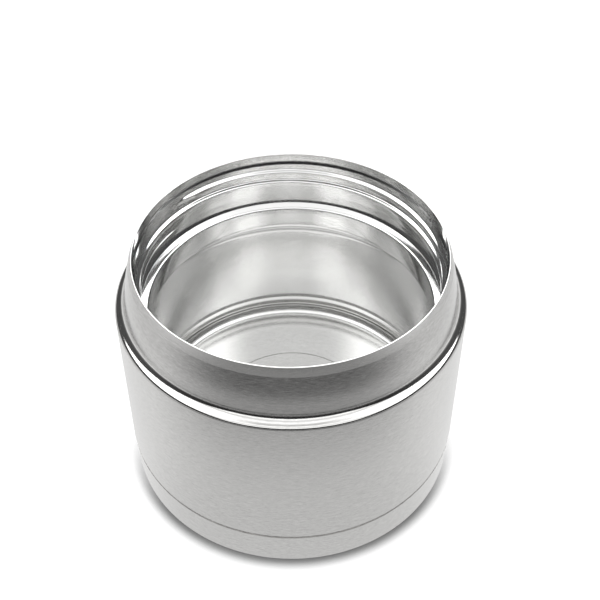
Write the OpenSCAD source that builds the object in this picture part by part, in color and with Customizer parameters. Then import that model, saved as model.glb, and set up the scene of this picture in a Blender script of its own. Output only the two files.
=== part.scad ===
// Insulated food jar: two steel skins with a vacuum between them, a rolled screw mouth and a pressed base cup.
// Millimetres, +Z up. The origin is the centre of the base, on the table.

/* [Body] */
// Height from the table to the rim
jar_h = 89; // [75:0.5:160]
// How far the body's side stands out past the rim
shoulder_w = 7; // [5.8:0.1:12]
// Space between the body's wall and the cavity's wall
vacuum_gap = 5.3; // [4:0.1:8]
// Thickness of the steel sheet
sheet = 0.5; // [0.35:0.05:0.7]
// Smallest inside radius of a bend in the sheet
bend = 0.3; // [0.2:0.05:0.5]
// Fall of the shoulder ledge, in degrees below level
shoulder_fall = 22; // [8:1:35]
// Outside radius of the shoulder's edge
shoulder_round = 1.1; // [1:0.05:1.4]

/* [Neck] */
// Outside diameter of the rim
rim_d = 101.6; // [92:0.2:130]
// Thickness of each skin where the two are welded at the rim
lip_sheet = 0.25; // [0.2:0.05:0.35]
// Height of the land below the rim on which the skins touch
weld_land = 1; // [0.6:0.1:1.6]
// Height of the lip band below the rim
lip_band = 3; // [2.6:0.1:4]
// Growth in radius over the lip band
lip_flare = 1.1; // [0.9:0.05:1.4]
// Growth in radius from the lip band down to the shoulder
neck_flare = 2.9; // [1.5:0.1:3.2]
// Height of the neck, from the shoulder up to the rim
neck_h = 17.5; // [14:0.5:30]

/* [Mouth thread] */
// Step in radius from the lip in to the threaded wall
thread_step = 0.5; // [0.2:0.05:0.7]
// Height of the chamfer that makes that step
step_h = 1; // [0.6:0.1:1.6]
// Distance from the rim down to the middle of the thread's upper end
thread_top = 6.8; // [5.4:0.1:9]
// Rise of the thread in one turn
thread_pitch = 4.35; // [3.6:0.05:4.6]
// Turns of the thread, from tip to tip
thread_turns = 2.03; // [1.2:0.01:2.2]
// Depth of the thread from the wall to its crest
thread_depth = 1.1; // [0.7:0.05:1.6]
// Width of the thread's ridge at the wall
thread_w = 2.8; // [2.4:0.1:3.4]
// Direction of the thread's upper tip, in degrees from +X
thread_start = 145; // [0:1:359]
// Part of a turn over which the upper tip runs out, in degrees
thread_runout = 15; // [8:1:30]
// Part of a turn over which the lower tip runs out, in degrees
thread_fade = 60; // [30:1:90]

/* [Seal seat and cavity] */
// Distance from the rim down to the seal seat
seat_drop = 21.2; // [19.5:0.1:30]
// How far the wall below the thread leans in, down to the seat
wall_lean = 0.1; // [0.05:0.05:1.2]
// Width of the seal seat
seat_w = 2.75; // [1.8:0.05:3.2]
// Fall across the seal seat
seat_fall = 0.5; // [0:0.05:0.8]
// Length of the bore below the seat, down to the flare
neck_bore_l = 8.8; // [6:0.1:12]
// Height over which the flare opens to the cavity
flare_h = 5; // [4:0.25:10]

/* [Inner bottom] */
// Space between the getter's clip and the foil under the floor
floor_gap = 1; // [0.5:0.1:4]
// Radius of the corner between the cavity's wall and floor
floor_round = 3; // [1.5:0.1:6]
// Straight wall between that corner and the lower bead
corner_land = 0.22; // [0.1:0.02:4]
// Height of each rolled bead beside the seam between the liner and its bottom
bead_h = 2.8; // [2:0.1:4]
// How far a bead stands into the cavity
bead_depth = 0.25; // [0.1:0.05:0.4]
// Diameter of the shallow dish in the floor
dish_d = 56.4; // [40:0.2:70]
// Depth of that dish
dish_drop = 0.3; // [0.1:0.05:0.45]

/* [Base] */
// Height of the seam between the shell and the base cup
base_seam_h = 14; // [12.5:0.1:18]
// Width of the groove at that seam
seam_gap = 0.45; // [0.3:0.05:0.8]
// How far the base cup leans in towards the table
base_taper = 0.6; // [0.2:0.05:1]
// Width of the ring that stands on the table
foot_w = 4.5; // [3:0.25:8]
// Height of the recess inside that ring
foot_recess = 1.2; // [0.8:0.1:1.6]
// Space between the base cup's ring and the shell's lower end
base_gap = 3.6; // [3:0.1:5]
// Length of the flange of the shell's own bottom, up from its weld
flange_l = 2.5; // [1.8:0.1:4]
// Gap between the base cup and the shell's end inside it
cup_clearance = 0.05; // [0.02:0.01:0.15]

/* [Vacuum space] */
// Thickness of the copper foil
foil = 0.1; // [0.05:0.01:0.15]
// Lap of the foil's two ends, in degrees
foil_lap = 14; // [6:1:30]
// Margin of bare steel above and below the wrapped foil
foil_margin = 2; // [1:0.25:6]
// Margin of bare steel round the foil disc under the floor
foil_disc_inset = 5.5; // [4:0.25:12]
// Diameter of the evacuation port
port_d = 2; // [1.2:0.1:3]
// Diameter of the dimple round the port
port_dimple_d = 12; // [9:0.5:16]
// Depth of that dimple
port_dimple = 1.2; // [0.9:0.1:1.6]
// Thickness of the glass that seals the port
port_glass = 0.8; // [0.5:0.1:1]
// Diameter of the getter pill
getter_d = 9; // [6:0.5:12]
// Height of the getter pill
getter_h = 1.9; // [1.2:0.1:2]
// Distance of the getter from the jar's axis
getter_out = 30; // [20:1:40]
// Thickness of the getter's clip
clip_sheet = 0.2; // [0.1:0.05:0.3]
// Width of the getter's clip
clip_w = 4; // [3:0.25:6]
// Length of each foot of the clip
clip_foot = 3; // [2:0.25:5]

/* [Hidden] */
$fn = 96;

arc_steps = 6;

rim_r = rim_d / 2;
body_r = rim_r + shoulder_w;
cavity_r = body_r - sheet - vacuum_gap - sheet;
outside_bend = bend + sheet;

// The welded rim: the two skins meet at land_r
land_r = rim_r - lip_sheet;
lip_in_r = land_r - lip_sheet;
lip_round_share = 0.8;
lip_round = lip_sheet * lip_round_share;
lip_low_z = jar_h - lip_band;
land_z = jar_h - weld_land;

// The shell's neck and shoulder
band_r = rim_r + lip_flare;
neck_base_r = band_r + neck_flare;
neck_base_z = jar_h - neck_h;
shoulder_z = neck_base_z - (body_r - neck_base_r) * tan(shoulder_fall);

// The base cup leans in by base_taper from its seam to the table, and what it covers leans with it
skin = sheet / cos(atan(base_taper / base_seam_h));
function cup_r(z) = body_r - base_taper * (base_seam_h - z) / base_seam_h;
function spigot_r(z) = cup_r(z) - skin - cup_clearance;
shell_end_z = sheet + base_gap;
outer_bottom_h = shell_end_z + flange_l;
joggle_low_z = base_seam_h - seam_gap;
joggle_top_z = base_seam_h + body_r - spigot_r(base_seam_h);
foot_in_r = cup_r(0) - outside_bend - foot_w;
foot_slope_share = 1;

// The getter on the shell's bottom, and the cavity's floor above it
clip_clearance_share = 0.5;
clip_clearance = clip_sheet * clip_clearance_share;
clip_in_r = getter_d / 2 + clip_clearance;
clip_h = getter_h + clip_clearance + clip_sheet;
floor_h = outer_bottom_h + clip_h + floor_gap + foil + sheet + dish_drop;

// The liner's mouth, thread and seat
thread_r = lip_in_r - thread_step;
step_top_z = lip_low_z;
step_low_z = step_top_z - step_h;
thread_top_z = jar_h - thread_top;
thread_end_z = thread_top_z - thread_turns * thread_pitch;
thread_wall_end_z = thread_end_z - thread_w / 2;
seat_r = thread_r - wall_lean;
neck_bore_r = seat_r - seat_w;
seat_z = jar_h - seat_drop;
bore_top_z = seat_z - seat_fall;
bore_low_z = bore_top_z - neck_bore_l;
flare_low_z = bore_low_z - flare_h;
flare_bend_share = 0.7;
flare_bend = flare_h * flare_bend_share;
bead_bend_share = 0.6;
bead_bend = bead_h * bead_bend_share;
bead_land_share = 0.1;
bead_land = bead_h * bead_land_share;
liner_seam_h = floor_h + floor_round + corner_land + bead_h + bead_land;
dish_r = dish_d / 2;
dish_slope = outside_bend + bend;

// The vacuum space
liner_out_r = cavity_r + sheet;
foil_top_z = flare_low_z - foil_margin;
foil_low_z = liner_seam_h + bead_land + bead_h + foil_margin;
floor_under_z = floor_h - dish_drop - sheet;
port_r = port_d / 2;
dimple_r = port_dimple_d / 2;
dimple_slope = port_dimple;
dimple_roof_z = outer_bottom_h + port_dimple;
glass_r = dimple_r - dimple_slope - outside_bend;
glass_top_z = dimple_roof_z - sheet;

// The thread's sweep
thread_stations = ceil(thread_turns * 48);
ridge_points = 8;
embed_share = 0.5;
embed = sheet * embed_share;
tip_share = 0.04;

function unit(v) = v / norm(v);
function left_of(v) = [-v[1], v[0]];
function flip(path) = [for (i = [len(path) - 1 : -1 : 0]) path[i]];
function tail(path, from) = [for (i = [from : len(path) - 1]) path[i]];

// The arc that rounds corner b, given as [radius, height, bend radius], between its neighbours a and c
function corner(a, b, c) =
    len(b) < 3 ? [b] :
    let (p = [b[0], b[1]],
         u = unit([a[0], a[1]] - p),
         v = unit([c[0], c[1]] - p),
         half = acos(u * v) / 2,
         centre = p + unit(u + v) * b[2] / sin(half),
         from = unit(p + u * b[2] / tan(half) - centre),
         to = unit(p + v * b[2] / tan(half) - centre),
         sweep = 180 - 2 * half)
    [for (k = [0 : arc_steps])
        let (t = k / arc_steps)
        centre + b[2] * (from * sin((1 - t) * sweep) + to * sin(t * sweep)) / sin(sweep)];

// A run of corners as one smooth run of points
function smooth(c) = [for (i = [0 : len(c) - 1]) each
    i == 0 || i == len(c) - 1 ? [[c[i][0], c[i][1]]] : corner(c[i - 1], c[i], c[i + 1])];

// The same run, moved t to the left of its direction of travel
function beside(path, t) = [for (i = [0 : len(path) - 1])
    let (n = max(i, 1),
         m = min(i + 1, len(path) - 1),
         a = left_of(unit(path[n] - path[n - 1])),
         b = left_of(unit(path[m] - path[m - 1])),
         way = unit(a + b))
    path[i] + way * t / (way * a)];

// A sheet of thickness t on the left of a run, turned round the axis
module turned_sheet(path, t) {
    rotate_extrude() polygon(concat(path, flip(beside(path, t))));
}

// How much of its full depth the thread has at station i
function runout(i) =
    let (turned = i / thread_stations * thread_turns * 360,
         left = thread_turns * 360 - turned,
         near = min(turned / thread_runout, left / thread_fade, 1))
    tip_share + (1 - tip_share) * (1 - cos(180 * near)) / 2;

// A helical bar: at each station an arch of width w rises inwards from radius root by height
module helical_bar(root, height, w, points) {
    stations = thread_stations;
    n = points + 1;
    verts = [for (i = [0 : stations], j = [0 : points])
        let (share = i / stations,
             angle = thread_start - share * thread_turns * 360,
             r = root - height * runout(i) * sin(180 * j / points),
             z = thread_top_z - share * thread_turns * thread_pitch + w * (j / points - 1 / 2))
        [r * cos(angle), r * sin(angle), z]];
    sides = [for (i = [0 : stations - 1], j = [0 : points]) each
        let (a = i * n + j,
             b = i * n + (j + 1) % n)
        [[a, b, b + n], [a, b + n, a + n]]];
    first = [for (j = [points : -1 : 0]) j];
    last = [for (j = [0 : points]) stations * n + j];
    polyhedron(points = verts, faces = concat([first], sides, [last]), convexity = 6);
}

// Shell: lip band, tapered neck, sloping shoulder, straight body and the spigot that the base cup slides over
module outer_shell() {
    outside = smooth([
        [land_r, jar_h],
        [rim_r, jar_h, lip_round],
        [band_r, lip_low_z, outside_bend],
        [neck_base_r, neck_base_z, outside_bend],
        [body_r, shoulder_z, shoulder_round],
        [body_r, joggle_top_z],
        [spigot_r(base_seam_h), base_seam_h],
        [spigot_r(shell_end_z), shell_end_z]]);
    below_lip = tail(outside, arc_steps + 2);
    inside = concat([[land_r, land_z]], beside(below_lip, -sheet));
    color([0.71, 0.70, 0.69])
    rotate_extrude() polygon(concat(outside, flip(inside)));
}

// The shell's own pressed bottom, welded at the spigot's end, with the evacuation port in its dimple
module outer_bottom() {
    flange_r = spigot_r(shell_end_z) - skin;
    flange_top_r = spigot_r(outer_bottom_h) - skin;
    color([0.62, 0.62, 0.61])
    turned_sheet(smooth([
        [flange_r, shell_end_z],
        [flange_top_r, outer_bottom_h, outside_bend],
        [dimple_r, outer_bottom_h, bend],
        [dimple_r - dimple_slope, dimple_roof_z, outside_bend],
        [port_r, dimple_roof_z]]), sheet);
}

// Pressed cup that closes the base: the jar stands on its ring
module base_cup() {
    color([0.73, 0.72, 0.71])
    turned_sheet(smooth([
        [cup_r(joggle_low_z), joggle_low_z],
        [cup_r(0), 0, outside_bend],
        [foot_in_r, 0, outside_bend],
        [foot_in_r - foot_recess * foot_slope_share, foot_recess, bend],
        [0, foot_recess]]), -sheet);
}

// Liner: thin lip, rolled screw thread, seal seat, neck bore, flare and the cavity's wall down to its seam
module inner_liner() {
    inside = smooth([
        [land_r, jar_h],
        [lip_in_r, jar_h, lip_round],
        [lip_in_r, step_top_z, outside_bend],
        [thread_r, step_low_z, bend],
        [thread_r, thread_wall_end_z],
        [seat_r, seat_z, bend],
        [neck_bore_r, bore_top_z, outside_bend],
        [neck_bore_r, bore_low_z, flare_bend],
        [cavity_r, flare_low_z, flare_bend],
        [cavity_r, liner_seam_h + bead_land + bead_h, bead_bend],
        [cavity_r - bead_depth, liner_seam_h + bead_land + bead_h / 2, bead_bend],
        [cavity_r, liner_seam_h + bead_land],
        [cavity_r, liner_seam_h]]);
    below_lip = tail(inside, arc_steps + 2);
    outside = concat([[land_r, land_z]], beside(below_lip, sheet));
    color([0.75, 0.75, 0.74])
    union() {
        rotate_extrude() polygon(concat(inside, flip(outside)));
        helical_bar(thread_r + embed, thread_depth + embed, thread_w, ridge_points);
    }
}

// Pressed bottom of the food cavity, seam-welded to the liner between two rolled beads
module inner_bottom() {
    color([0.80, 0.80, 0.79])
    turned_sheet(smooth([
        [cavity_r, liner_seam_h],
        [cavity_r, liner_seam_h - bead_land],
        [cavity_r - bead_depth, liner_seam_h - bead_land - bead_h / 2, bead_bend],
        [cavity_r, liner_seam_h - bead_land - bead_h],
        [cavity_r, floor_h, floor_round],
        [dish_r, floor_h, outside_bend],
        [dish_r - dish_slope, floor_h - dish_drop, bend],
        [0, floor_h - dish_drop]]), sheet);
}

// Copper foil wrapped once round the liner, with its end lapped over its start
module shield_wrap() {
    height = foil_top_z - foil_low_z;
    color([0.80, 0.50, 0.35])
    translate([0, 0, foil_low_z]) {
        rotate_extrude()
            translate([liner_out_r, 0]) square([foil, height]);
        rotate_extrude(angle = foil_lap)
            translate([liner_out_r + foil / 2, 0]) square([foil * 3 / 2, height]);
    }
}

// Copper foil disc that lies under the cavity's floor
module shield_disc() {
    color([0.80, 0.50, 0.35])
    translate([0, 0, floor_under_z - foil]) cylinder(r = cavity_r - foil_disc_inset, h = foil);
}

// Pill that absorbs the last gas, on the shell's bottom
module getter_pill() {
    edge = clip_sheet;
    color([0.35, 0.35, 0.36])
    translate([getter_out, 0, outer_bottom_h])
    rotate_extrude() polygon([
        [0, 0],
        [getter_d / 2 - edge, 0],
        [getter_d / 2, edge],
        [getter_d / 2, getter_h - edge],
        [getter_d / 2 - edge, getter_h],
        [0, getter_h]]);
}

// Strap over the pill, spot-welded by its two feet
module getter_clip() {
    outer = clip_in_r + clip_sheet;
    color([0.66, 0.66, 0.66])
    translate([getter_out, clip_w / 2, outer_bottom_h])
    rotate([90, 0, 0])
    linear_extrude(clip_w)
    polygon(concat(
        [[-outer - clip_foot, 0], [-clip_in_r, 0], [-clip_in_r, clip_h - clip_sheet]],
        [[clip_in_r, clip_h - clip_sheet], [clip_in_r, 0], [outer + clip_foot, 0]],
        [[outer + clip_foot, clip_sheet], [outer, clip_sheet], [outer, clip_h]],
        [[-outer, clip_h], [-outer, clip_sheet], [-outer - clip_foot, clip_sheet]]));
}

// Glass button that was melted into the port's dimple from below, with its stem through the port
module seal_glass() {
    color([0.30, 0.34, 0.38])
    rotate_extrude() polygon(smooth([
        [0, glass_top_z - port_glass],
        [glass_r, glass_top_z - port_glass, port_glass / 2],
        [glass_r, glass_top_z],
        [port_r, glass_top_z],
        [port_r, dimple_roof_z],
        [0, dimple_roof_z]]));
}

outer_shell();
outer_bottom();
base_cup();
inner_liner();
inner_bottom();
shield_wrap();
shield_disc();
getter_pill();
getter_clip();
seal_glass();
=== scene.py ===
"""Open insulated food jar of brushed steel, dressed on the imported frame. Metres, +Z up."""

import math

import bpy
import numpy as np
from mathutils import Matrix


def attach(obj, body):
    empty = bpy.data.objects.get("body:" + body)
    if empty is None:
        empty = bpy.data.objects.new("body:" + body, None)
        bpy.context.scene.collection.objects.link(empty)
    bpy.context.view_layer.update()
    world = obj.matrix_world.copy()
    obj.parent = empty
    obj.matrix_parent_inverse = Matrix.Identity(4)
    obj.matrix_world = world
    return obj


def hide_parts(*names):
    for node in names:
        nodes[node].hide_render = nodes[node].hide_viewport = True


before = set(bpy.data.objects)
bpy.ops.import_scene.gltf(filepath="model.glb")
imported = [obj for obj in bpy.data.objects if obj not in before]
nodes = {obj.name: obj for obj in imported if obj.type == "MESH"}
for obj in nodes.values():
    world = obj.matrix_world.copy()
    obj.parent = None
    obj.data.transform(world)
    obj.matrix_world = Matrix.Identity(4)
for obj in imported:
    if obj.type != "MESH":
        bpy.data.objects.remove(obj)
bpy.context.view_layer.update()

MM = 0.001

# Sizes of the jar in mm, where _R is a radius and _Z a height. These are the frame's own.
JAR_H = 89.0
SHEET = 0.5
BEND = 0.3
OUT_BEND = BEND + SHEET
RIM_R = 50.8
BODY_R = 57.8
LIP = 0.25
LAND_R = RIM_R - LIP
LIP_IN_R = LAND_R - LIP
LIP_ROUND = 0.2
LIP_BACK = 1.0
LIP_LOW = JAR_H - 3.0
BAND_R = RIM_R + 1.1
NECK_R = BAND_R + 2.9
NECK_Z = JAR_H - 17.5
LEDGE_SLOPE = math.radians(22)
LEDGE_Z = NECK_Z - (BODY_R - NECK_R) * math.tan(LEDGE_SLOPE)
SEAM_Z = 14.0
GAP_Z = SEAM_Z - 0.45
TAPER = 0.6
SKIN = SHEET / math.cos(math.atan(TAPER / SEAM_Z))
SPIGOT_GAP = 0.05
SHELL_END = 4.1
FOOT_R = BODY_R - TAPER - OUT_BEND - 4.5
RECESS = 1.2
WALL_R = LIP_IN_R - 0.5
STEP_LOW = LIP_LOW - 1.0
SEAT_R = WALL_R - 0.1
SEAT_Z = JAR_H - 21.2
BORE_R = SEAT_R - 2.75
BORE_TOP = SEAT_Z - 0.5
BORE_LOW = BORE_TOP - 8.8
FLARE_LOW = BORE_LOW - 5.0
FLARE_BEND = 3.5
CAVITY_R = 51.5
JOIN_Z = 17.0
BEAD_H = 2.8
BEAD = 0.25
LAND = 0.28
FLOOR_Z = 10.7
FLOOR_ROUND = 3.0
RAISED_R = 28.2

# Where these shapes depart from the frame's: the neck bulges a little and its foot and the
# shoulder have larger bends, the ledge lies lower, the seat's and the beads' bends are tighter,
# the seam's edge and the beads' ends are rounded, and the middle of the cavity's floor is raised
# where the frame has a shallow dish.
BULGE_R = (BAND_R + NECK_R) / 2 + 0.3
BULGE_Z = (LIP_LOW + NECK_Z) / 2
BULGE_BEND = 60
FOOT_BEND = 3.5
FOOT_IN = 0.05
SHOULDER_BEND = 1.5
LEDGE_DROP = 0.3
SEAT_BEND = BEND / 2
SEAM_BEND = 0.12
BEAD_BEND = 1.6
LAND_BEND = 0.2
RAISED = 0.15
RAISED_EDGE = 0.5

# The rolled thread: START, RUN_IN and RUN_OUT in degrees. CREST is the flat share of half the
# ridge, which the frame's plain arch doesn't have.
THREAD_TOP = JAR_H - 6.8
PITCH = 4.35
TURNS = 2.03
DEPTH = 1.1
RIDGE_W = 2.8
CREST = 0.43
START = 145.0
RUN_IN = 15.0
RUN_OUT = 60.0
WALL_END = THREAD_TOP - TURNS * PITCH - RIDGE_W / 2
PRESSED_TOP = JAR_H - 2
PRESSED_LOW = WALL_END - 2.5

# Fineness of the meshes: columns round the jar, and rows in mm
SEGMENTS = 512
LINER_SEGMENTS = 640
SHELL_ROW = 3
SHELL_BACK_ROW = 6
CUP_ROW = 4
FLOOR_ROW = 2
LINER_ROW = 2.5
THREAD_ROW = 0.12
THREAD_ROWS_LOW = WALL_END - 1.2
SHARP = math.radians(40)
HAIR = 0.001


def cup_r(z):
    return BODY_R - TAPER * (SEAM_Z - z) / SEAM_Z


def spigot_r(z):
    return cup_r(z) - SKIN - SPIGOT_GAP


# Outlines


def unit(v):
    return v / np.linalg.norm(v)


def smooth(corners, arc):
    """The run of points through corners (radius, height, bend), each rounded by its bend in
    steps of about arc degrees."""
    run = []
    for i, corner in enumerate(corners):
        p = np.array(corner[:2], float)
        if len(corner) < 3 or i in (0, len(corners) - 1):
            run.append(p)
            continue
        bend = corner[2]
        u = unit(np.array(corners[i - 1][:2], float) - p)
        v = unit(np.array(corners[i + 1][:2], float) - p)
        half = math.acos(float(np.clip(u @ v, -1, 1))) / 2
        centre = p + unit(u + v) * bend / math.sin(half)
        a = unit(p + u * bend / math.tan(half) - centre)
        b = unit(p + v * bend / math.tan(half) - centre)
        sweep = math.pi - 2 * half
        steps = max(3, int(math.degrees(sweep) / arc))
        for k in range(steps + 1):
            t = k / steps
            way = a * math.sin((1 - t) * sweep) + b * math.sin(t * sweep)
            run.append(centre + bend * way / math.sin(sweep))
    return np.array(run)


def beside(run, t):
    """The same run, moved t to the left of its direction of travel."""
    d = np.diff(run, axis=0)
    d /= np.linalg.norm(d, axis=1)[:, None]
    n = np.stack([-d[:, 1], d[:, 0]], 1)
    a = np.vstack([n[:1], n])
    b = np.vstack([n, n[-1:]])
    way = a + b
    way /= np.linalg.norm(way, axis=1)[:, None]
    return run + way * (t / (way * a).sum(1))[:, None]


def below_rim(run):
    """The run from the first point that is below the rim's rounding."""
    return run[int(np.argmax(run[:, 1] < JAR_H - LIP_ROUND - HAIR)):]


def dense(run, step):
    """The run with its long parts cut up. step(p, q) is the longest row from p to q in mm."""
    out = [run[0]]
    for p, q in zip(run[:-1], run[1:]):
        n = max(1, int(math.ceil(np.linalg.norm(q - p) / step(p, q))))
        out += [p + (q - p) * k / n for k in range(1, n + 1)]
    return np.array(out)


def rows_of(length):
    return lambda p, q: length


def liner_rows(p, q):
    """Short rows where the thread runs, longer ones elsewhere."""
    low, high = sorted((p[1], q[1]))
    return THREAD_ROW if low < PRESSED_TOP and high > THREAD_ROWS_LOW else LINER_ROW


# Meshes


def make_object(name, verts, faces, material):
    mesh = bpy.data.meshes.new(name)
    mesh.from_pydata((verts * MM).tolist(), [], faces)
    mesh.validate()
    mesh.shade_smooth()
    mesh.set_sharp_from_angle(angle=SHARP)
    obj = bpy.data.objects.new(name, mesh)
    bpy.context.scene.collection.objects.link(obj)
    mesh.materials.append(material)
    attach(obj, "root")
    return obj


def turned(loop, segments, shift=None):
    """A closed loop of (radius, height) turned round +Z. shift(angle in degrees, height) is what
    each point's radius gains."""
    loop = np.asarray(loop, float)
    m = len(loop)
    angle = np.arange(segments) * 360.0 / segments
    r = np.tile(loop[:, 0], (segments, 1))
    z = np.tile(loop[:, 1], (segments, 1))
    a = np.tile(angle[:, None], (1, m))
    if shift is not None:
        r = r + shift(a, z)
    x, y = r * np.cos(np.radians(a)), r * np.sin(np.radians(a))
    verts = np.stack([x, y, z], 2).reshape(-1, 3)
    faces = []
    for i in range(segments):
        p, q = i * m, (i + 1) % segments * m
        for j in range(m):
            k = (j + 1) % m
            faces.append((p + j, q + j, q + k, p + k))
    return verts, faces


def turned_to_axis(run, t):
    """A sheet of thickness t beside a run that ends on the axis, turned into a dish with a
    closed middle."""
    back = beside(run, t)
    back[-1, 0] = 0
    loop = np.vstack([run[:-1], back[:-1][::-1]])
    n = len(run) - 1
    m = len(loop)
    verts, faces = turned(loop, SEGMENTS)
    faces = [f for f in faces if f[0] % m != n - 1]
    verts = np.vstack([verts, [[0, 0, run[-1, 1]], [0, 0, back[-1, 1]]]])
    top, low = len(verts) - 2, len(verts) - 1
    for i in range(SEGMENTS):
        p, q = i * m, (i + 1) % SEGMENTS * m
        faces.append((p + n - 1, q + n - 1, top))
        faces.append((q + n, p + n, low))
    return verts, faces


def thread_height(a, z):
    """How far the rolled thread stands in from the wall at angle a and height z."""
    best = np.zeros_like(z)
    for lap in range(math.ceil(TURNS)):
        gone = np.mod(START - a, 360.0) + 360.0 * lap
        mid = THREAD_TOP - gone / 360.0 * PITCH
        near = np.minimum(gone / RUN_IN, (TURNS * 360.0 - gone) / RUN_OUT)
        full = (1 - np.cos(np.pi * np.clip(near, 0, 1))) / 2
        x = np.abs(z - mid) / (RIDGE_W / 2)
        side = np.clip((1 - x) / (1 - CREST), 0, 1)
        arch = side * side * (3 - 2 * side)
        best = np.maximum(best, np.where(near > 0, DEPTH * full * arch, 0))
    return best


def pressed(a, z):
    """The thread's shift of the liner's sheet. The back moves too, and the frame's doesn't."""
    return np.where((z > PRESSED_LOW) & (z < PRESSED_TOP), -thread_height(a, z), 0)


# Nodes of materials

SETTINGS = ("operation", "data_type", "interpolation_type", "direction_type", "axis")


def fill(made, **values):
    """Sets a node's settings and inputs. An input is named with _ for a space, or i0, i1 by
    place, and gets a plain value or a link from a socket."""
    for key, value in values.items():
        if key in SETTINGS:
            setattr(made, key, value)
            continue
        by_place = key[0] == "i" and key[1:].isdigit()
        target = made.inputs[int(key[1:]) if by_place else key.replace("_", " ")]
        if isinstance(value, bpy.types.NodeSocket):
            made.id_data.links.new(value, target)
        else:
            target.default_value = value
    return made


def node(tree, kind, **values):
    return fill(tree.nodes.new("ShaderNode" + kind), **values)


def calc(tree, operation, *values):
    by_place = {f"i{k}": value for k, value in enumerate(values)}
    return node(tree, "Math", operation=operation, **by_place).outputs[0]


def product(tree, first, *others):
    for other in others:
        first = calc(tree, "MULTIPLY", first, other)
    return first


def ease(tree, value, low, high, start=0.0, end=1.0):
    """start below low, end above high, and a smooth step between."""
    return node(tree, "MapRange", interpolation_type="SMOOTHSTEP", Value=value, From_Min=low,
                From_Max=high, To_Min=start, To_Max=end).outputs[0]


def new_material(name):
    material = bpy.data.materials.new(name)
    material.use_nodes = True
    tree = material.node_tree
    return material, tree, tree.nodes["Principled BSDF"]


def add_bump(tree, shader, height, strength, distance):
    relief = node(tree, "Bump", Strength=strength, Distance=distance, Height=height)
    fill(shader, Normal=relief.outputs[0])


# Materials

# Lines of the brushing to a metre, along it and across it
COARSE_LINES = (420, 3400)
FINE_LINES = (1100, 5200)
COARSE_SHARE = 0.6
NOISE_LOW, NOISE_HIGH = 0.3, 0.7
ROUGH_SPREAD = 0.15
BRUSH_DEPTH = 0.00005
SPECKLE_DEPTH = 0.0001
QUARTER_TURN = 0.25
SATIN_EDGE = 1


def lines_of(tree, grain, along, across):
    place = node(tree, "VectorMath", operation="MULTIPLY", i0=grain, i1=(along, along, across))
    noise = node(tree, "TexNoise", Scale=1.0, Detail=2.0, Roughness=0.6, Vector=place.outputs[0])
    return noise.outputs["Fac"]


def steel(name, colour, roughness, across=1, streak=0.06, bump=0.05, aniso=0.6, satin=None):
    """Brushed steel. The brushing runs round the jar's axis, and the lines cross z plus across
    times the radius. satin is (low, high, ratio): between these heights in mm the roughness is
    that many times as much."""
    material, tree, shader = new_material(name)
    fill(shader, Metallic=1.0, Anisotropic=aniso, Anisotropic_Rotation=QUARTER_TURN)
    place = node(tree, "TexCoord").outputs["Object"]
    x, y, z = node(tree, "SeparateXYZ", i0=place).outputs
    plane = node(tree, "CombineXYZ", X=x, Y=y).outputs[0]
    radius = node(tree, "VectorMath", operation="LENGTH", i0=plane).outputs["Value"]
    cross = calc(tree, "MULTIPLY_ADD", radius, across, z)
    grain = node(tree, "CombineXYZ", X=x, Y=y, Z=cross).outputs[0]
    coarse = lines_of(tree, grain, *COARSE_LINES)
    fine = lines_of(tree, grain, *FINE_LINES)
    both = calc(tree, "MULTIPLY_ADD", coarse, COARSE_SHARE,
                calc(tree, "MULTIPLY", fine, 1 - COARSE_SHARE))
    shade = node(tree, "MapRange", Value=both, From_Min=NOISE_LOW, From_Max=NOISE_HIGH,
                 To_Min=1 - streak, To_Max=1 + streak).outputs[0]
    tint = node(tree, "VectorMath", operation="SCALE", i0=colour, Scale=shade)
    rough = node(tree, "MapRange", Value=coarse, From_Min=NOISE_LOW, From_Max=NOISE_HIGH,
                 To_Min=roughness * (1 - ROUGH_SPREAD),
                 To_Max=roughness * (1 + ROUGH_SPREAD)).outputs[0]
    if satin:
        low, high, ratio = satin
        half = (high - low) / 2
        apart = calc(tree, "ABSOLUTE", calc(tree, "SUBTRACT", z, (low + high) / 2 * MM))
        edge = ease(tree, apart, (half - SATIN_EDGE) * MM, half * MM, ratio, 1.0)
        rough = calc(tree, "MULTIPLY", rough, edge)
    run = node(tree, "Tangent", direction_type="RADIAL", axis="Z")
    fill(shader, Base_Color=tint.outputs[0], Roughness=rough, Tangent=run.outputs[0])
    add_bump(tree, shader, both, bump, BRUSH_DEPTH)
    return material


def speckled(name, dark, light, metallic, roughness, scale, detail, bump):
    """A dull surface that is mottled between two colours."""
    material, tree, shader = new_material(name)
    place = node(tree, "TexCoord").outputs["Object"]
    noise = node(tree, "TexNoise", Scale=scale, Detail=detail, Vector=place).outputs["Fac"]
    ramp = node(tree, "ValToRGB", Fac=noise)
    for stop, colour in zip(ramp.color_ramp.elements, (dark, light)):
        stop.color = (*colour, 1)
    fill(shader, Metallic=metallic, Roughness=roughness, Base_Color=ramp.outputs["Color"])
    add_bump(tree, shader, noise, bump, SPECKLE_DEPTH)
    return material


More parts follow.
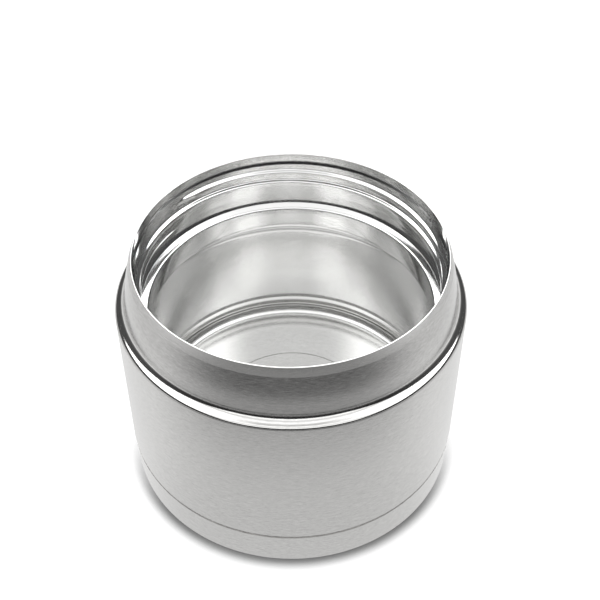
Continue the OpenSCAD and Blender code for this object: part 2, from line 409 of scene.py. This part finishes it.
shell_mat = steel("brushed shell", (0.60, 0.595, 0.585), 0.21, across=-1, streak=0.18, bump=0.1,
                  satin=(68.5, 72.6, 0.4))
cup_mat = steel("brushed base", (0.62, 0.615, 0.605), 0.21, streak=0.17, bump=0.1)
liner_mat = steel("polished liner", (0.725, 0.725, 0.722), 0.08, streak=0.02, bump=0.002,
                  aniso=0.8, satin=(0, 56, 1.6))
floor_mat = steel("satin floor", (0.67, 0.67, 0.66), 0.21, streak=0.05, bump=0.015, aniso=0.0,
                  satin=(12.5, 60, 0.55))
hidden_mat = steel("mill steel", (0.55, 0.55, 0.54), 0.35, bump=0.1, aniso=0.2)
foil_mat = steel("copper foil", (0.80, 0.47, 0.33), 0.22, streak=0.05, bump=0.1, aniso=0.2)
powder_mat = speckled("pressed powder", (0.15, 0.15, 0.16), (0.30, 0.30, 0.31), metallic=0.6,
                      roughness=0.8, scale=2500, detail=3, bump=0.5)
glass_mat = speckled("solder glass", (0.28, 0.33, 0.38), (0.42, 0.47, 0.52), metallic=0.0,
                     roughness=0.15, scale=700, detail=2, bump=0.2)

for name, material in (
    ("outer_bottom", hidden_mat),
    ("shield_wrap", foil_mat),
    ("shield_disc", foil_mat),
    ("getter_pill", powder_mat),
    ("getter_clip", hidden_mat),
    ("seal_glass", glass_mat),
):
    mesh = nodes[name].data
    if not mesh.materials:
        mesh.materials.append(material)
    for i in range(len(mesh.materials)):
        mesh.materials[i] = material

# Shell: lip band, tapered neck, shoulder ledge, body and spigot
outside = smooth([
    (LAND_R, JAR_H),
    (RIM_R, JAR_H, LIP_ROUND),
    (BAND_R, LIP_LOW, OUT_BEND),
    (BULGE_R, BULGE_Z, BULGE_BEND),
    (NECK_R - FOOT_IN, NECK_Z - LEDGE_DROP, FOOT_BEND),
    (BODY_R, LEDGE_Z - LEDGE_DROP, SHOULDER_BEND),
    (BODY_R, SEAM_Z + BODY_R - spigot_r(SEAM_Z), SEAM_BEND),
    (spigot_r(SEAM_Z), SEAM_Z),
    (spigot_r(SHELL_END), SHELL_END)], arc=4)
inside = np.vstack([[LAND_R, JAR_H - LIP_BACK], beside(below_rim(outside), -SHEET)])
loop = np.vstack([dense(outside, rows_of(SHELL_ROW)), dense(inside[::-1], rows_of(SHELL_BACK_ROW))])
verts, faces = turned(loop[:-1], SEGMENTS)
shell = make_object("shell_skin", verts, faces, shell_mat)
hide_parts("outer_shell")

# Base cup
cup_run = smooth([
    (cup_r(GAP_Z), GAP_Z),
    (cup_r(0), 0, OUT_BEND),
    (FOOT_R, 0, OUT_BEND),
    (FOOT_R - RECESS, RECESS, BEND),
    (0, RECESS)], arc=6)
verts, faces = turned_to_axis(dense(cup_run, rows_of(CUP_ROW)), -SHEET)
cup = make_object("base_cup_skin", verts, faces, cup_mat)
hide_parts("base_cup")

# Liner: lip, step, rolled thread, seat, bore, flare, wall and the upper bead
liner_run = smooth([
    (LAND_R, JAR_H),
    (LIP_IN_R, JAR_H, LIP_ROUND),
    (LIP_IN_R, LIP_LOW, OUT_BEND),
    (WALL_R, STEP_LOW, BEND),
    (WALL_R, WALL_END),
    (SEAT_R, SEAT_Z, SEAT_BEND),
    (BORE_R, BORE_TOP, OUT_BEND),
    (BORE_R, BORE_LOW, FLARE_BEND),
    (CAVITY_R, FLARE_LOW, FLARE_BEND),
    (CAVITY_R, JOIN_Z + LAND + BEAD_H, BEAD_BEND),
    (CAVITY_R - BEAD, JOIN_Z + LAND + BEAD_H / 2, BEAD_BEND),
    (CAVITY_R, JOIN_Z + LAND, LAND_BEND),
    (CAVITY_R, JOIN_Z)], arc=5)
back = np.vstack([[LAND_R, JAR_H - LIP_BACK], beside(below_rim(liner_run), SHEET)])
loop = np.vstack([dense(liner_run, liner_rows), dense(back, liner_rows)[::-1]])
verts, faces = turned(loop[:-1], LINER_SEGMENTS, pressed)
liner = make_object("liner_skin", verts, faces, liner_mat)
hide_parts("inner_liner")

# Inner bottom: the lower bead, the rounded corner and the floor with its raised middle
bottom_run = smooth([
    (CAVITY_R, JOIN_Z),
    (CAVITY_R, JOIN_Z - LAND, LAND_BEND),
    (CAVITY_R - BEAD, JOIN_Z - LAND - BEAD_H / 2, BEAD_BEND),
    (CAVITY_R, JOIN_Z - LAND - BEAD_H, LAND_BEND),
    (CAVITY_R, FLOOR_Z, FLOOR_ROUND),
    (RAISED_R, FLOOR_Z, BEND),
    (RAISED_R - RAISED_EDGE, FLOOR_Z + RAISED, BEND),
    (0, FLOOR_Z + RAISED)], arc=4)
verts, faces = turned_to_axis(dense(bottom_run, rows_of(FLOOR_ROW)), SHEET)
bottom = make_object("cavity_floor", verts, faces, floor_mat)
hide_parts("inner_bottom")

# Floor and surroundings. Each tuple is (from, to, level before, level after) for ease(), and the
# levels are 0 and 1 where it has none.

# What the camera sees of the floor: white, with a painted shadow near the jar's base, almost only
# in front of it
FLOOR_SIZE = 3.0
FLOOR_COLOUR = (0.3, 0.3, 0.3, 1)
FLOOR_GLOW = 0.9
SHADOW_REACH = 0.006
SHADOW = (0.5, 1.0, 1.0, 0.0)
SHADOW_FRONT = (-0.1, 0.7, 0.05, 1.0)

# What the metal mirrors of the floor, by the distance from the axis in metres, or by front, which
# is 1 in front of the jar and -1 behind it: a pale floor with a dark place in front of the jar
PALE_NEAR = (0.10, 0.20, 1.0, 0.78)
PALE_FAR = (0.7, 1.2, 1.0, 0.2)
PALE_FRONT = (0.2, 1.0, 1.0, 0.80)
GAIN_FAR = (0.32, 0.50, 0.0, 0.50)
GAIN_FRONT = (0.3, 0.9, 1.0, 0.0)
DARK_DEPTH = (0.15, 0.27, 0.27, 0.88)
DARK_START = (0.085, 0.12)
DARK_END = (0.33, 0.52, 1.0, 0.0)
DARK_FRONT = (0.1, 0.9)

# What the metal mirrors of the room: dim, and dimmer in front and above the horizon
ROOM_FRONT = (-0.2, 0.8, 0.3, 0.08)
ROOM_LOW = (0.0, 0.16, 1.0, 0.35)

# The softbox, which the metal mirrors, lies in a plane 1 above the jar. u is the distance to
# either side there, and v the distance to the back. From the front it has a strip, which falls to
# a darker one, then a middle with brighter wings, and a back that is the brightest.
STRIP = (-2.3, -1.9, 0.0, 1.8)
STRIP_FALL = (-1.35, -1.15, 0.0, 0.65)
MIDDLE = (-0.88, -0.45)
MIDDLE_GAIN = 0.6
WING_GAIN = (0.4, 0.8, 0.0, 0.8)
BACK_GAIN = (0.15, 0.5, 0.0, 1.8)
BACK_LEAD = (0.5, 0.9, 0.0, 0.2)
ZENITH = (0.12, 0.35, 0.5, 1.0)
SIDE_EDGE = (0.98, 1.18, 1.0, 0.0)
SIDE_SLANT = 0.45
CORNER_V = 0.79
CORNER_SLANT = 1.5
BACK_EDGE = (1.17, 1.29, 1.0, 0.2)
LOW_EDGE = (0.03, 0.2)
LOWEST = 0.02

WHITE = (1, 1, 1, 1)
GLOSSY_BOUNCES = 10


def across_floor(tree, x, y):
    """Distance from the axis, and how far a place is to the front: 1 in front, -1 behind."""
    squares = calc(tree, "ADD", calc(tree, "MULTIPLY", x, x), calc(tree, "MULTIPLY", y, y))
    far = calc(tree, "SQRT", squares)
    front = calc(tree, "DIVIDE", calc(tree, "MULTIPLY", y, -1.0),
                 calc(tree, "MAXIMUM", far, 0.001))
    return far, front


def stage_floor():
    """White to the camera, with a painted shadow of the jar, and open from below."""
    low, high = -FLOOR_SIZE, FLOOR_SIZE
    corners = [(low, low, 0), (high, low, 0), (high, high, 0), (low, high, 0)]
    mesh = bpy.data.meshes.new("stage_floor")
    mesh.from_pydata(corners, [], [(0, 1, 2, 3)])
    obj = bpy.data.objects.new("stage_floor", mesh)
    bpy.context.scene.collection.objects.link(obj)
    material, tree, shader = new_material("white floor")
    fill(shader, Base_Color=FLOOR_COLOUR, Roughness=1.0, Specular_IOR_Level=0.0)
    ray = node(tree, "LightPath").outputs
    place = node(tree, "SeparateXYZ", i0=node(tree, "TexCoord").outputs["Object"]).outputs
    far, front = across_floor(tree, place["X"], place["Y"])

    # Painted shadow: the floor's glow to the camera is dimmed by ambient occlusion near the jar's
    # base, and almost only in front of the jar. The dull white shader underneath adds only a little
    # real shade.
    open_sky = node(tree, "AmbientOcclusion", Distance=SHADOW_REACH).outputs["AO"]
    shade = product(tree, ease(tree, open_sky, *SHADOW), ease(tree, front, *SHADOW_FRONT))
    lit = product(tree, calc(tree, "SUBTRACT", 1.0, shade), FLOOR_GLOW, ray["Is Camera Ray"])
    plain = node(tree, "AddShader", i0=shader.outputs[0],
                 i1=node(tree, "Emission", Strength=lit).outputs[0])

    gain = product(tree, ease(tree, far, *GAIN_FAR), ease(tree, front, *GAIN_FRONT))
    pale = product(tree, calc(tree, "ADD", ease(tree, far, *PALE_NEAR), gain),
                   ease(tree, far, *PALE_FAR), ease(tree, front, *PALE_FRONT))
    dark = product(tree, ease(tree, far, *DARK_DEPTH), ease(tree, far, *DARK_START),
                   ease(tree, far, *DARK_END), ease(tree, front, *DARK_FRONT))
    seen = product(tree, pale, calc(tree, "SUBTRACT", 1.0, dark))
    mirrored = node(tree, "Emission", Strength=seen)

    above = node(tree, "MixShader", i0=ray["Is Glossy Ray"], i1=plain.outputs[0],
                 i2=mirrored.outputs[0])
    both = node(tree, "MixShader", i0=node(tree, "NewGeometry").outputs["Backfacing"],
                i1=above.outputs[0], i2=node(tree, "BsdfTransparent").outputs[0])
    fill(tree.nodes["Material Output"], Surface=both.outputs[0])
    mesh.materials.append(material)


def softbox(tree, u, v, height):
    box = calc(tree, "SUBTRACT", ease(tree, v, *STRIP), ease(tree, v, *STRIP_FALL))
    gain = calc(tree, "ADD", ease(tree, u, *WING_GAIN), MIDDLE_GAIN)
    box = calc(tree, "ADD", box, product(tree, ease(tree, v, *MIDDLE), gain))
    onward = calc(tree, "ADD", v, ease(tree, u, *BACK_LEAD))
    box = calc(tree, "ADD", box, ease(tree, onward, *BACK_GAIN))
    off_top = calc(tree, "MAXIMUM", u, calc(tree, "ABSOLUTE", v))
    behind = calc(tree, "SUBTRACT", calc(tree, "MAXIMUM", v, 0.0), CORNER_V)
    corner = calc(tree, "MAXIMUM", calc(tree, "SUBTRACT", v, CORNER_V), 0.0)
    side = calc(tree, "ADD", u, calc(tree, "ADD", product(tree, behind, SIDE_SLANT),
                                     product(tree, corner, CORNER_SLANT)))
    return product(tree, box, ease(tree, off_top, *ZENITH), ease(tree, side, *SIDE_EDGE),
                   ease(tree, v, *BACK_EDGE), ease(tree, height, *LOW_EDGE))


def studio():
    """White to the camera and for plain light. The metal mirrors the softbox in a dark room."""
    world = bpy.data.worlds.new("studio")
    bpy.context.scene.world = world
    world.use_nodes = True
    tree = world.node_tree
    way = node(tree, "TexCoord").outputs["Generated"]
    dx, dy, dz = node(tree, "SeparateXYZ", i0=way).outputs
    above = calc(tree, "MAXIMUM", dz, LOWEST)
    u = calc(tree, "ABSOLUTE", calc(tree, "DIVIDE", dx, above))
    v = calc(tree, "DIVIDE", dy, above)
    front = across_floor(tree, dx, dy)[1]
    room = product(tree, ease(tree, front, *ROOM_FRONT), ease(tree, dz, *ROOM_LOW))
    mirrored = calc(tree, "ADD", room, softbox(tree, u, v, dz))
    seen = node(tree, "Mix", data_type="FLOAT", A=1.0, B=mirrored,
                Factor=node(tree, "LightPath").outputs["Is Glossy Ray"])
    fill(tree.nodes["Background"], Color=WHITE, Strength=seen.outputs[0])


stage_floor()
studio()

# Camera at the photograph's viewing angle
CAMERA_AT = (0, -0.25592, 0.31526)
CAMERA_DOWN = math.radians(44.19)
CAMERA_ROLL = -0.011
LENS = 64.46
SENSOR = 36
SHIFT_X = 0.0151
CLIP_START = 0.01

cam_data = bpy.data.cameras.new("camera")
cam = bpy.data.objects.new("camera", cam_data)
bpy.context.scene.collection.objects.link(cam)
cam_data.lens = LENS
cam_data.sensor_width = SENSOR
cam_data.shift_x = SHIFT_X
cam_data.clip_start = CLIP_START
cam.matrix_world = (
    Matrix.Translation(CAMERA_AT)
    @ Matrix.Rotation(math.pi / 2 - CAMERA_DOWN, 4, "X")
    @ Matrix.Rotation(CAMERA_ROLL, 4, "Z"))
bpy.context.scene.camera = cam

bpy.context.scene.view_settings.view_transform = "Standard"
bpy.context.scene.cycles.glossy_bounces = GLOSSY_BOUNCES
